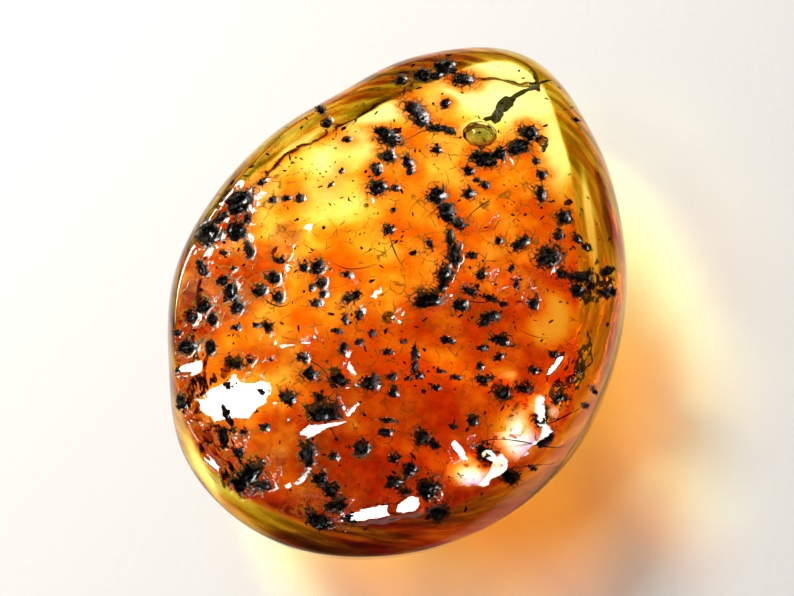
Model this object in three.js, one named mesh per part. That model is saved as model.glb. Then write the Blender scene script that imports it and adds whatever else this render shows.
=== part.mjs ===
// A lump of polished amber, lying on its flat ground underside, in millimetres with +Z up.
// +Y points along the longest way of the egg-shaped plan, towards its narrow end.
// The origin is on the underside, below the middle of the lump.

import * as THREE from 'three';
import { mergeVertices } from 'three/addons/utils/BufferGeometryUtils.js';

// Height of the middle of the upper face above the underside, before its hollows
const CROWN_HEIGHT = 16.0;

// Distance from the middle to the edge in plan, at equal turns from +X towards +Y
const PLAN_RADII = [
  19.8, 19.7, 20.8, 23.2, 26.0, 23.4, 20.2, 19.6,
  19.9, 20.9, 22.1, 25.0, 25.9, 24.7, 22.9, 21.1,
];

// Height of the widest line round the side, at equal turns from +X
const GIRDLE_HEIGHT = [8.6, 7.6, 7.6, 7.6, 8.0, 10.6, 12.0, 11.4];

// How far the natural upper face falls from the crown to a point 20 mm along X or 25 mm along Y
const CROWN_FALL = { alongX: 1.4, reachX: 20.0, alongY: 1.5, reachY: 25.0 };

// Blend between the upper face and the side, at equal turns from +X: wide is a soft shoulder
const SHOULDER_BLEND = [4.0, 5.0, 3.2, 2.6, 1.6, 0.5, 0.4, 0.8];

// How far the side would rise above its widest line before it closed, and the power that rounds it
const WALL_RISE = [14.0, 15.0, 15.0, 15.0, 13.0, 11.0, 6.0, 7.8];
const WALL_SQUARENESS = [2.2, 2.2, 2.2, 2.2, 2.2, 2.2, 1.3, 1.3];

// Width of the ground chamfer below the girdle, at equal turns from +X, and its curve
const CHAMFER_WIDTH = [4.6, 3.8, 1.2, 1.3, 1.5, 2.8, 3.0, 3.8];
const CHAMFER_CURVE = 0.75;
const FOOT_BLEND = 0.7;

// Powers that square off the upper and the lower half
const UPPER_SQUARENESS = 3.2;
const LOWER_SQUARENESS = 2.2;

// Slow undulation of the upper face: height, and the two wavelengths over a full turn
const UNDULATION = 0.10;
const LONG_WAVES = { x: 3.1, y: 3.7, shiftX: 1.3, shiftY: 0.4 };
const SHORT_WAVES = { x: 1.7, y: 2.3, share: 0.6 };

// The larger hollows of the weathered upper face: place in plan, radius and depth
const HOLLOWS = [
  { x: -3.2, y: 17.6, radius: 2.2, depth: 0.5 },
  { x: -0.6, y: 12.6, radius: 1.9, depth: 0.5 },
  { x: 6.6, y: 15.0, radius: 2.0, depth: 0.4 },
  { x: -9.4, y: 3.6, radius: 2.3, depth: 0.5 },
  { x: -12.0, y: -3.4, radius: 2.6, depth: 0.5 },
  { x: 1.4, y: 2.8, radius: 2.2, depth: 0.4 },
  { x: 9.6, y: 4.2, radius: 2.2, depth: 0.5 },
  { x: -1.6, y: -9.6, radius: 2.4, depth: 0.5 },
  { x: 5.4, y: -15.2, radius: 2.2, depth: 0.4 },
  { x: 11.8, y: -8.2, radius: 2.4, depth: 0.4 },
];

// Rows of triangles on each face of the starting icosahedron, less one
const DETAIL = 17;

function aroundRing(values, angle) {
  // A smooth closed curve through the values, read at an angle in radians
  const count = values.length;
  const turn = angle / (2 * Math.PI);
  const place = (turn - Math.floor(turn)) * count;
  const first = Math.floor(place) % count;
  const share = place - Math.floor(place);
  const [a, b, c, d] = [-1, 0, 1, 2].map((step) => values[(first + step + count) % count]);
  const slope = c - a;
  const bend = 2 * a - 5 * b + 4 * c - d;
  const twist = 3 * b - 3 * c + d - a;
  return 0.5 * (2 * b + slope * share + bend * share ** 2 + twist * share ** 3);
}

function smoothMinimum(first, second, blend) {
  const share = THREE.MathUtils.clamp(0.5 + (0.5 * (second - first)) / blend, 0, 1);
  return second * (1 - share) + first * share - blend * share * (1 - share);
}

function upperFace(x, y) {
  const fallX = CROWN_FALL.alongX * (x / CROWN_FALL.reachX) ** 2;
  const fallY = CROWN_FALL.alongY * (y / CROWN_FALL.reachY) ** 2;
  const waveX = Math.sin(x / LONG_WAVES.x + LONG_WAVES.shiftX);
  const waveY = Math.sin(y / LONG_WAVES.y + LONG_WAVES.shiftY);
  const short = SHORT_WAVES.share * Math.sin(x / SHORT_WAVES.x + y / SHORT_WAVES.y);
  let height = CROWN_HEIGHT - fallX - fallY + UNDULATION * (waveX * waveY + short);
  for (const hollow of HOLLOWS) {
    const away = Math.hypot(x - hollow.x, y - hollow.y) / hollow.radius;
    height -= hollow.depth * Math.exp(-2 * away ** 2);
  }
  return height;
}

function upperPoint(angle, edge, spread) {
  // The wall rises from the girdle, and the upper face is blended over its top
  const bow = (Math.PI / 2) * spread;
  const reach = edge * Math.sin(bow) ** (2 / UPPER_SQUARENESS);
  const x = reach * Math.cos(angle);
  const y = reach * Math.sin(angle);
  const rise = Math.max(Math.cos(bow), 0) ** (2 / aroundRing(WALL_SQUARENESS, angle));
  const wall = aroundRing(GIRDLE_HEIGHT, angle) + aroundRing(WALL_RISE, angle) * rise;
  const height = smoothMinimum(upperFace(x, y), wall, aroundRing(SHOULDER_BLEND, angle));
  return new THREE.Vector3(x, y, height);
}

function lowerPoint(angle, edge, spread) {
  // The chamfer falls from the girdle to the flat underside, which is at a height of exactly 0
  const reach = Math.sin((Math.PI / 2) * spread) ** (2 / LOWER_SQUARENESS);
  const width = aroundRing(CHAMFER_WIDTH, angle);
  const along = (reach * edge - (edge - width)) / width;
  const steep = 1 - (1 - THREE.MathUtils.clamp(along, 0, 1)) ** CHAMFER_CURVE;
  const slope = along > 0 ? steep : CHAMFER_CURVE * Math.max(along, -1);
  const height = -smoothMinimum(0, -aroundRing(GIRDLE_HEIGHT, angle) * slope, FOOT_BLEND);
  return new THREE.Vector3(reach * edge * Math.cos(angle), reach * edge * Math.sin(angle), height);
}

function amberGeometry() {
  const geometry = new THREE.IcosahedronGeometry(1, DETAIL);
  geometry.deleteAttribute('normal');
  geometry.deleteAttribute('uv');
  const merged = mergeVertices(geometry, 1e-5);
  const position = merged.getAttribute('position');
  const start = new THREE.Vector3();
  for (let index = 0; index < position.count; index += 1) {
    start.fromBufferAttribute(position, index).normalize();
    const angle = Math.atan2(start.y, start.x);
    const edge = aroundRing(PLAN_RADII, angle);
    const spread = Math.sqrt(Math.max(1 - Math.abs(start.z), 0));
    const point = start.z >= 0 ? upperPoint(angle, edge, spread) : lowerPoint(angle, edge, spread);
    position.setXYZ(index, point.x, point.y, point.z);
  }
  merged.computeBoundingBox();
  const middle = merged.boundingBox.getCenter(new THREE.Vector3());
  merged.translate(-middle.x, -middle.y, 0);
  merged.computeVertexNormals();
  return merged;
}

function amberMaterial() {
  const material = new THREE.MeshStandardMaterial({ color: 0xd9820f, roughness: 0.06, metalness: 0.0 });
  material.transparent = true;
  material.opacity = 0.8;
  return material;
}

const amber = new THREE.Mesh(amberGeometry(), amberMaterial());
amber.name = 'amber';

const lump = new THREE.Group();
lump.name = 'amber_lump';
lump.add(amber);

export default lump;
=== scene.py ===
"""A lump of polished amber on paper, laid out as a Blender add-on and run as a script."""

import math
import random
from typing import NamedTuple

import bpy
import numpy as np
from mathutils import Matrix, Vector, noise


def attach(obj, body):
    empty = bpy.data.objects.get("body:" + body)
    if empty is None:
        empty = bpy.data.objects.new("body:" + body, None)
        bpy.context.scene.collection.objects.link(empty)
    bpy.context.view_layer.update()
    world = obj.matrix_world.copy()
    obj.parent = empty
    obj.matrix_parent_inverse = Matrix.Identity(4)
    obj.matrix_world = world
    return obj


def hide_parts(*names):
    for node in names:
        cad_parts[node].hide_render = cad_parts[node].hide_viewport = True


bl_info = {
    "name": "Polished amber lump",
    "version": (1, 0, 0),
    "blender": (4, 5, 0),
    "location": "View3D > Sidebar > Amber",
    "description": "Builds a lump of clear amber with a weathered, pitted upper face",
    "category": "Add Mesh",
}

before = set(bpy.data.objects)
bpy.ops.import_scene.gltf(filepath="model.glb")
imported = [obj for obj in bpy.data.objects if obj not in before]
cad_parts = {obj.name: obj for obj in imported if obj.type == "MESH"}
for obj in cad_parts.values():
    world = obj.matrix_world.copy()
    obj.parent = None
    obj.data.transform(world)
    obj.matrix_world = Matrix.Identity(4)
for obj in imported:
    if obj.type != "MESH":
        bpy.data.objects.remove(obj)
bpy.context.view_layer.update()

MM = 0.001

# Distance from the middle to the edge in plan, in mm, at equal turns from +X towards +Y
PLAN_RADII = (
    19.8, 19.7, 20.8, 23.2, 26.0, 23.4, 20.2, 19.6,
    19.9, 20.9, 22.1, 25.0, 25.9, 24.7, 22.9, 21.1,
)

# Height of the widest line round the side, in mm, at equal turns from +X
GIRDLE_HEIGHT = (8.6, 7.6, 7.6, 7.6, 8.0, 10.6, 12.0, 11.4)

# How far the side rises above that line before it would close, and the power that rounds it
WALL_RISE = (14.0, 15.0, 15.0, 15.0, 13.0, 11.0, 6.0, 7.8)
WALL_SQUARENESS = (2.2, 2.2, 2.2, 2.2, 2.2, 2.2, 1.3, 1.3)

# Blend of the upper face into the side and width of the ground chamfer, in mm, at equal turns from +X
SHOULDER_BLEND = (4.0, 5.0, 3.2, 2.6, 1.6, 0.5, 0.4, 0.8)
CHAMFER_WIDTH = (4.6, 3.8, 1.2, 1.3, 1.5, 2.8, 3.0, 3.8)

# Where the weathered skin ends as a share of the way to the edge, at equal turns from +X
SKIN_EDGE = (
    0.83, 0.755, 0.755, 0.81, 0.88, 0.77, 0.76, 0.79,
    0.86, 0.92, 0.95, 0.955, 0.925, 0.895, 0.905, 0.93,
)

# How dark the ground side band is drawn olive-brown, at equal turns from +X: partly its real stain, partly
# painted shade that darkens the rims
SIDE_STAIN_AND_SHADE = (
    1.2, 1.4, 1.7, 2.3, 1.9, 3.6, 2.8, 1.6,
    2.8, 4.2, 3.4, 1.2, 2.6, 3.8, 1.9, 1.2,
)

# How much of that stain and painted shade the side has below its widest line
LOWER_STAIN_AND_SHADE = 0.2

# How brown the weathered skin is at its edge, at equal turns from +X
EDGE_BROWN = (0.3, 0.1, 0.0, 0.4, 0.9, 1.2, 1.6, 1.4)

# Where the window is: degrees from straight ahead to the right, its rise in degrees, and its distance in m
WINDOW_TURN = -48
WINDOW_RISE = 46
WINDOW_DISTANCE = 0.36

# Powers that square off the upper and the lower half, and curve the chamfer
UPPER_SQUARENESS = 3.2
LOWER_SQUARENESS = 2.2
CHAMFER_CURVE = 0.75
FOOT_BLEND = 0.35

# Height on the starting unit ball above which its faces are split finer, for the upper face's detail
FINE_ABOVE = 0.12

# The photograph's frame and the camera that took it
PHOTO_WIDTH = 794
PHOTO_HEIGHT = 596
CAMERA_TURN = math.radians(26)
CAMERA_RISE = math.radians(68)
CAMERA_LENS = 85.0
SENSOR = 36.0
CAMERA_AIM = Vector((0.0, 0.0, 7.5))
CAMERA_DISTANCE = 72.2 * CAMERA_LENS / SENSOR
SHIFT_RIGHT = 10.0
SHIFT_DOWN = 4.0


class Lamp(NamedTuple):
    """A soft rectangular light that faces the lump: its place, size in m, power in W and colour."""

    name: str
    turn: float
    rise: float
    distance: float
    width: float
    height: float
    power: float
    colour: tuple
    mirrored: bool


# The lamps. The last is too broad to be seen in the polished faces, so it isn't mirrored.
LAMPS = (
    Lamp("window", WINDOW_TURN, WINDOW_RISE, WINDOW_DISTANCE, 0.10, 0.10, 1.06, (1.0, 0.98, 0.95), True),
    Lamp("side_window", -97, 42, 0.36, 0.12, 0.07, 0.25, (1.0, 0.96, 0.93), True),
    Lamp("soft_light", -50, 55, 0.6, 0.5, 0.4, 1.5, (1.0, 0.97, 0.93), False),
)


class Pit(NamedTuple):
    """A pit of the upper face: its pixel in the photograph, its size in mm and its turn in degrees."""

    across: float
    down: float
    long: float
    wide: float
    turn: float = 0.0
    soil: float = 1.0


# Pits packed with soil, from the narrow end down. Turn is anticlockwise from the photograph's right.
SOIL_PITS = [Pit(*row) for row in (
    (401, 79, 1.1, 0.9), (424, 74, 1.7, 1.2), (436, 75, 1.0, 0.8), (445, 66, 1.9, 1.3, -8),
    (462, 78, 2.0, 1.3, -15), (445, 103, 0.8, 0.8), (415, 110, 2.2, 1.3, -48), (421, 119, 1.5, 1.1, -20),
    (437, 127, 1.6, 0.7, -5), (449, 130, 1.2, 0.6, -25), (390, 138, 1.9, 1.3, -20), (388, 155, 1.1, 1.4, 60),
    (436, 149, 1.0, 0.7, -35), (408, 161, 0.8, 1.3, 20), (410, 170, 0.7, 0.5, 60), (528, 131, 1.4, 1.2),
    (518, 146, 2.1, 1.3, 30), (484, 157, 2.0, 1.5, -10), (500, 151, 1.4, 0.8, 20), (469, 170, 0.9, 0.9),
    (485, 185, 0.8, 0.6), (469, 192, 0.9, 0.9), (477, 179, 0.6, 0.5), (542, 174, 0.8, 0.8),
    (541, 193, 0.8, 1.3), (536, 160, 0.6, 0.6), (437, 193, 1.4, 1.4), (446, 210, 1.3, 1.8, 30),
    (459, 222, 1.0, 1.2, 40), (564, 216, 1.3, 1.1), (558, 234, 0.8, 0.8), (577, 238, 0.7, 0.6, -40),
    (585, 246, 0.7, 0.5, -40), (395, 187, 0.7, 0.6), (388, 229, 0.8, 0.8), (394, 209, 0.5, 0.5),
    (376, 169, 0.8, 1.2), (378, 186, 1.4, 1.4), (391, 229, 0.6, 0.7), (347, 139, 0.8, 0.5),
    (239, 201, 2.4, 1.8, 35), (209, 232, 1.9, 2.2, 20), (237, 230, 1.5, 1.5), (221, 216, 1.3, 0.9, 45),
    (248, 217, 0.6, 0.9), (262, 182, 0.7, 0.6), (287, 198, 0.7, 0.6), (299, 197, 0.7, 0.7),
    (273, 199, 0.6, 0.5), (249, 250, 0.7, 1.6, 10), (225, 252, 0.8, 0.4), (279, 257, 1.1, 0.8),
    (304, 266, 0.8, 0.9), (317, 266, 1.2, 1.2), (234, 268, 0.5, 0.3), (273, 276, 1.1, 1.1),
    (259, 290, 1.2, 1.0), (277, 295, 1.0, 0.9), (202, 267, 0.8, 1.6, 30), (223, 279, 0.9, 0.9),
    (231, 291, 1.1, 1.7, 10), (237, 306, 1.2, 1.0), (204, 305, 1.3, 1.1, 40), (191, 316, 1.2, 1.0),
    (213, 318, 0.8, 1.0), (321, 282, 0.8, 0.9), (324, 293, 0.7, 0.6), (312, 288, 0.5, 0.5),
    (316, 303, 0.9, 0.7), (347, 274, 0.8, 0.5), (348, 299, 0.9, 0.7, 20), (355, 294, 0.9, 0.6, 45),
    (345, 318, 0.6, 0.8), (359, 314, 0.7, 1.0), (235, 326, 0.9, 0.5), (257, 324, 0.7, 0.4),
    (267, 325, 0.8, 0.7), (177, 332, 0.7, 0.6), (187, 346, 1.7, 1.2, 10), (211, 346, 0.8, 1.0),
    (234, 359, 1.2, 1.0), (249, 359, 0.7, 0.8), (303, 356, 0.9, 0.8), (271, 359, 0.4, 0.4),
    (310, 373, 1.2, 1.0), (338, 331, 0.9, 0.4), (343, 346, 0.7, 1.0), (358, 341, 0.7, 0.5, 30),
    (372, 333, 0.6, 0.8), (388, 351, 1.0, 0.4), (338, 375, 1.6, 1.4), (370, 382, 1.4, 1.2),
    (391, 376, 0.7, 0.7), (394, 392, 0.8, 0.8), (319, 394, 0.8, 0.7), (178, 370, 0.6, 0.8),
    (181, 402, 1.2, 1.4, 45), (229, 383, 1.4, 0.8, 20), (262, 392, 1.1, 0.6, -15), (228, 415, 0.8, 1.9, 25),
    (223, 434, 0.8, 1.6, 5), (286, 397, 1.5, 1.1, -20), (324, 410, 2.7, 1.9, -10), (307, 453, 1.2, 2.2),
    (334, 455, 0.7, 0.7), (243, 429, 0.6, 0.6), (266, 426, 0.7, 0.5), (238, 451, 0.8, 0.8),
    (250, 468, 2.0, 1.4, 35), (239, 480, 1.6, 1.1, -20), (262, 482, 1.4, 0.8, -10), (320, 478, 1.1, 1.2),
    (330, 488, 1.4, 1.0, -30), (362, 447, 1.3, 1.2), (336, 502, 1.5, 1.1), (318, 517, 2.2, 1.2, -20),
    (350, 517, 1.6, 0.8, -5), (388, 420, 1.3, 0.4, -5), (386, 431, 1.1, 0.6), (394, 458, 0.8, 0.7),
    (394, 481, 1.3, 0.9), (503, 392, 1.3, 1.2), (523, 385, 1.4, 0.7), (559, 396, 1.0, 0.7),
    (594, 390, 0.8, 0.5, -30), (586, 405, 0.8, 0.4, 20), (541, 420, 1.3, 1.0, -40), (473, 420, 0.9, 0.9),
    (453, 426, 0.7, 0.4), (422, 436, 1.2, 1.1), (434, 443, 1.0, 0.6, -20), (486, 452, 1.6, 1.2, -35),
    (509, 474, 1.6, 1.2, -15), (533, 467, 0.6, 0.4), (410, 468, 1.1, 1.2, 40), (392, 478, 0.9, 0.6),
    (405, 489, 1.0, 0.5), (428, 485, 1.6, 1.4), (437, 512, 1.6, 1.2, 25), (450, 236, 0.6, 1.6),
    (454, 251, 1.1, 2.1, 5), (445, 270, 1.3, 1.5), (443, 283, 0.9, 0.8), (427, 296, 2.1, 1.3, 10),
    (413, 252, 0.9, 0.5, 20), (499, 240, 0.7, 0.7), (472, 254, 0.8, 0.6), (430, 243, 0.5, 1.0, 30),
    (521, 242, 1.6, 0.8, 35), (549, 254, 2.0, 1.6, -10), (511, 267, 0.6, 0.4, 30), (482, 270, 0.8, 1.1),
    (470, 289, 1.1, 0.9, -20), (461, 304, 1.3, 1.1, 30), (491, 297, 1.6, 0.6, -10), (504, 300, 1.2, 0.5),
    (489, 316, 1.5, 0.9, 15), (484, 322, 0.9, 0.5, 20), (517, 280, 0.6, 0.6), (534, 302, 0.8, 1.1),
    (562, 272, 1.0, 0.8, -45), (580, 275, 1.8, 0.8, 5), (577, 289, 1.3, 1.0, -40), (608, 270, 1.4, 0.5, 28),
    (606, 290, 1.6, 0.9, 10), (591, 282, 1.0, 0.6, 20), (559, 234, 0.9, 0.6), (500, 339, 1.7, 0.9, -12),
    (445, 339, 0.8, 0.7), (452, 340, 0.5, 0.5), (481, 347, 1.0, 0.5), (499, 356, 1.0, 0.5, 25),
    (415, 352, 0.5, 1.4), (414, 366, 0.5, 1.3), (419, 375, 0.7, 0.6), (440, 370, 1.0, 0.3, -20),
    (457, 377, 0.9, 0.4), (388, 352, 0.8, 0.3), (408, 378, 0.5, 0.5), (480, 366, 0.5, 0.7),
    (483, 379, 1.3, 0.7, 10), (553, 353, 0.7, 0.6), (534, 369, 0.9, 0.7), (437, 387, 0.8, 0.5),
    (424, 391, 0.4, 0.4), (404, 340, 0.5, 0.4), (321, 109, 0.7, 1.2, 30), (327, 122, 0.9, 0.9),
    (576, 119, 0.8, 0.4, 15), (385, 131, 1.6, 0.8, -10), (331, 184, 0.5, 0.3, 60), (341, 171, 0.4, 0.4),
)]

# Open pits and blisters with little or no soil: wide shallow hollows whose near wall catches the window
OPEN_PITS = [Pit(*row, soil=0.0) for row in (
    (288, 335, 5.4, 1.9, -8), (388, 313, 2.2, 2.1, 0), (366, 202, 1.0, 1.0, 0), (497, 160, 2.6, 1.6, 15),
    (536, 143, 1.8, 1.8, 30), (282, 252, 1.7, 1.8, 0), (237, 364, 2.6, 2.2, 0), (512, 290, 4.2, 3.0, -15),
    (565, 372, 3.4, 1.8, 35), (446, 262, 2.0, 4.4, -20), (432, 298, 3.0, 1.7, 12), (344, 372, 2.6, 2.6, 30),
    (320, 408, 3.8, 2.8, -15), (428, 486, 2.6, 2.2, 0), (538, 262, 3.6, 2.2, -15),
    (232, 424, 2.4, 4.2, 12), (250, 474, 4.2, 3.0, 10), (330, 508, 5.6, 2.6, -12),
    (455, 448, 3.6, 2.0, 35), (400, 500, 3.4, 2.2, 10), (484, 220, 2.8, 1.4, 35), (600, 282, 2.4, 1.6, 0),
    (485, 270, 2.4, 1.8, 0), (366, 295, 3.6, 1.0, 48), (523, 386, 2.2, 1.4, 0), (545, 400, 2.4, 2.8, -30),
)]


class Patch(NamedTuple):
    """A soft-edged area of the upper face: its pixel, size in mm, turn in degrees and strength."""

    across: float
    down: float
    long: float
    wide: float
    turn: float
    strength: float


# Where the weathered skin is ground or worn through, so that the clear yellow amber shows
CLEAR_PATCHES = [Patch(*row) for row in (
    (505, 90, 16.0, 9.5, -8, 1.0), (480, 130, 4.0, 3.2, 0, 1.0), (562, 140, 12.0, 4.4, 82, 1.0),
    (500, 108, 7.0, 3.0, 0, 0.9), (380, 112, 6.5, 2.6, 15, 0.9), (345, 155, 8.5, 5.0, 35, 0.8),
    (330, 196, 7.5, 6.0, 20, 0.72), (366, 238, 4.0, 3.4, 0, 0.45), (412, 200, 5.0, 5.0, 0, 0.35),
    (470, 150, 6.0, 3.4, 0, 0.2), (280, 440, 4.5, 3.0, 0, 0.2), (508, 362, 4.0, 2.4, 0, 0.3),
    # The patches from (524, 430) on clear the skin over the films of painted light, so that those films show
    # bright
    (550, 320, 6.2, 3.8, 75, 1.0), (524, 430, 6.2, 5.6, 60, 1.0), (476, 470, 5.0, 3.4, 20, 1.0),
    (548, 402, 4.4, 3.0, 40, 0.8), (502, 378, 3.4, 2.4, 20, 0.8),
)]

# Where the skin is redder, and where it is brown and nearly opaque
RED_PATCHES = [Patch(*row) for row in (
    (400, 365, 10.0, 7.0, -10, 0.15), (290, 440, 12.0, 7.0, 0, 0.6), (470, 400, 10.0, 7.0, 20, 0.5),
    (300, 330, 12.0, 5.0, 5, 0.55),
    (430, 470, 16.0, 7.0, 10, 0.7), (240, 290, 8.0, 9.0, 60, 0.55), (575, 400, 7.0, 8.0, 65, 1.0),
    (520, 210, 7.0, 6.0, 0, 0.45), (560, 220, 5.0, 5.0, 0, 0.8), (450, 240, 4.0, 9.0, -10, 0.4),
)]
BROWN_PATCHES = [Patch(*row) for row in (
    (225, 212, 6.5, 4.5, 50, 1.2), (232, 288, 8.0, 6.0, 60, 1.2), (200, 310, 4.2, 7.0, 0, 1.5),
    (258, 262, 5.0, 3.5, 20, 0.7), (287, 235, 3.0, 3.0, 0, 0.8), (460, 318, 11.0, 6.0, 0, 0.85),
    (500, 355, 8.0, 5.0, -20, 0.6), (535, 290, 5.0, 5.0, 0, 0.4),
    (440, 415, 12.0, 6.0, 0, 0.8), (300, 445, 10.0, 6.0, -8, 1.2), (360, 478, 13.0, 6.0, -8, 1.0),
    (222, 450, 6.0, 6.0, 55, 0.9), (240, 478, 6.0, 3.0, -25, 1.1), (340, 512, 14.0, 4.0, -6, 1.3),
    (430, 500, 9.0, 5.0, 15, 0.9), (500, 494, 6.0, 4.0, 30, 0.9), (188, 350, 3.0, 9.0, 5, 0.7),
    (205, 255, 4.0, 7.0, -25, 0.8), (270, 355, 8.0, 4.0, 0, 0.35), (288, 236, 2.4, 2.2, 10, 0.8),
    (534, 352, 2.6, 1.8, -10, 0.9), (345, 395, 6.0, 4.0, -20, 0.35), (596, 280, 4.0, 2.4, 0, 0.6),
)]

# Streaks of the ground side band, lighter and darker than the rest of it
LIGHT_STREAKS = [Patch(*row) for row in (
    (590, 222, 11.0, 0.9, 95, 0.9), (203, 470, 6.0, 0.8, -58, 0.8), (290, 150, 8.0, 1.0, 38, 0.7),
)]
DARK_STREAKS = [Patch(*row) for row in (
    (606, 205, 9.0, 1.1, 99, 1.6), (614, 330, 12.0, 1.2, 84, 0.5), (340, 545, 16.0, 1.2, -8, 1.5),
    (440, 62, 9.0, 1.4, 12, 1.5), (250, 175, 9.0, 0.9, 42, 1.4), (560, 470, 10.0, 0.8, 42, 0.4),
)]

# How fast the streaks' own pattern changes along the band, and across it
ALONG_STREAKS = 5.0
ACROSS_STREAKS = 2.0


class Fold(NamedTuple):
    """A crease or ridge of the once-flowing surface: its pixels, its height and width in mm."""

    height: float
    width: float
    way: tuple


FOLDS = [Fold(*row) for row in (
    (0.16, 0.50, ((345, 304), (354, 292), (366, 279), (382, 263))),
    (0.14, 0.35, ((477, 220), (490, 209), (503, 202), (519, 193))),
    (-0.22, 0.60, ((464, 272), (450, 292), (434, 305), (412, 318), (398, 328))),
    (0.18, 0.60, ((188, 376), (206, 372), (230, 374), (246, 377), (256, 384))),
    (0.20, 0.70, ((292, 424), (312, 431), (338, 432), (350, 420), (362, 408))),
    (0.22, 0.50, ((268, 492), (290, 490), (304, 484), (313, 473), (330, 474))),
    (0.20, 0.60, ((386, 462), (396, 448), (412, 440), (424, 430))),
    (0.16, 0.50, ((434, 436), (452, 430), (470, 432), (478, 442))),
    (0.14, 0.50, ((500, 262), (520, 268), (534, 276), (540, 290))),
    (-0.16, 0.70, ((240, 226), (262, 222), (290, 214), (302, 226))),
    (0.20, 0.60, ((336, 506), (360, 516), (392, 516), (424, 508), (446, 500))),
    (0.12, 0.40, ((436, 404), (446, 396), (462, 392), (472, 382), (488, 372))),
    (-0.14, 0.60, ((260, 342), (290, 352), (330, 352), (362, 344))),
)]


# The slow waves of the upper face: size in mm, seed, octaves and share of the swell
SWELL_WAVES = ((5.5, 1, 2, 1.0), (2.2, 2, 2, 0.25), (0.8, 3, 3, 0.03))

# Where the waves fade out towards the edge, and where the pits do, as shares of the way to it
WAVES_FADE = (0.78, 0.95)
PITS_FADE = (0.93, 1.0)

# How ragged a pit's outline is, how much of its depth is left under soil, and how far its basin dips
PIT_RAGGED = 0.40
DEPTH_UNDER_SOIL = 0.55
BASIN_SHARE = 0.25

# How far the red-brown halo of a soil pit reaches, in mm
HALO_REACH = 0.95

# How ragged a window facet's outline is, and the height in mm of the waves on it
FACET_RAGGED = 0.26
FACET_WAVES = 0.015

# Half the width of the skin's edge, as a share of the way to the edge of the lump
SKIN_SOFTNESS = 0.012


class Facet(NamedTuple):
    """A smooth plane of the upper face that mirrors the window: its pixel, its size in mm and its turn."""

    across: float
    down: float
    long: float
    wide: float
    turn: float
    sink: float


FACETS = [Facet(*row) for row in (
    (235, 398, 7.4, 4.4, 4, 0.30), (192, 367, 2.2, 1.3, 0, 0.0), (319, 427, 5.0, 1.2, 8, 0.05),
    (372, 513, 5.8, 1.4, 6, 0.0), (409, 504, 2.6, 1.6, 20, 0.05), (460, 450, 1.3, 2.6, 35, 0.05),
    (290, 342, 5.0, 0.6, -4, 0.10), (212, 466, 1.0, 3.4, 30, 0.0), (352, 370, 1.2, 2.2, 35, 0.0),
    (505, 287, 1.6, 0.6, 10, 0.0), (555, 366, 2.6, 0.8, 50, 0.0),
)]

# Height of the soil in a pit: its share of the pit's width, what is added in mm, and the share sunk
SOIL_HEIGHT = 0.22
SOIL_ADDED = 0.06
SOIL_SUNK = 0.45

# How wide the main crumb of soil is, as a share of the pit, on each side of its middle
SOIL_WIDTH = 0.38

# Widths in mm above which a pit's soil is made with the finest shapes, and with the middling ones
LARGE_PIT = 1.2
MIDDLING_PIT = 0.7

# Size of the sealed crumbs in mm: the least, what chance adds at most, and the power that keeps most small
CRUMB_LEAST = 0.035
CRUMB_ADDED = 0.15
CRUMB_POWER = 2.5

# Radius of a plant thread, in mm, and how thin it is at its ends
THREAD_RADIUS = 0.045
THREAD_END = 0.25

# How deep the flakes of dark film lie, in mm
FILM_DEPTH = 0.35

# Plant threads and rootlets in the skin: pixels of each, from end to end
THREADS = (
    ((470, 444), (486, 440), (500, 439), (520, 441), (540, 445), (556, 447), (574, 441)),
    ((543, 424), (556, 420), (568, 414), (581, 407)),
    ((498, 450), (500, 458), (496, 466), (502, 472), (512, 468)),
    ((516, 468), (530, 465), (543, 464), (556, 462), (562, 456)),
    ((404, 140), (415, 135), (424, 130), (436, 127), (452, 128)),
    ((414, 104), (420, 101), (425, 96)),
    ((426, 218), (432, 212), (438, 206), (441, 200)),
    ((322, 418), (330, 428), (338, 440)),
    ((408, 216), (414, 204), (424, 196), (436, 194)),
    ((389, 232), (394, 250), (400, 262), (406, 272)),
    ((462, 224), (470, 214), (480, 206), (492, 198)),
    ((332, 262), (345, 268), (362, 268), (378, 264)),
    ((298, 352), (310, 360), (322, 368), (332, 380)),
    ((458, 296), (470, 300), (482, 302), (494, 298)),
    ((520, 330), (534, 336), (548, 338)),
    ((262, 296), (272, 304), (284, 306), (292, 300)),
)

# The flattened gas bubble and the dark film beside it, near the narrow end
BUBBLE_SPOT = (480, 130)
BUBBLE_SIZE = (3.2, 2.7, 1.4)
SMALL_BUBBLES = (
    (366, 202, 0.45), (388, 313, 0.9), (437, 387, 0.35), (428, 485, 0.6), (320, 173, 0.12),
    (323, 176, 0.10), (317, 169, 0.08), (326, 171, 0.11), (292, 162, 0.16), (296, 157, 0.12),
    (289, 166, 0.10), (311, 143, 0.12), (333, 138, 0.10), (306, 178, 0.09), (318, 180, 0.08),
    (330, 166, 0.08), (336, 176, 0.09), (312, 164, 0.07), (302, 168, 0.08), (322, 186, 0.07),
)

# Thin flat pale films just under the skin, bright with lamp light: painted light that stands in for spots of
# focused window light. Pixel, length and width in mm, turn in degrees, depth in mm
PAINTED_LIGHT_FILMS = (
    (475, 470, 4.6, 3.0, 14, 0.4), (528, 420, 4.6, 3.4, 60, 0.5), (514, 442, 4.4, 2.6, 10, 0.6),
    (540, 400, 3.0, 2.0, -40, 0.5), (504, 378, 2.4, 1.2, 20, 0.5), (546, 436, 2.2, 1.2, 30, 0.6),
)

# Half way between the ways to the camera and to the window, as light runs inside amber
FILM_FACING = Vector((-0.175, -0.058, 0.983))

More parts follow.
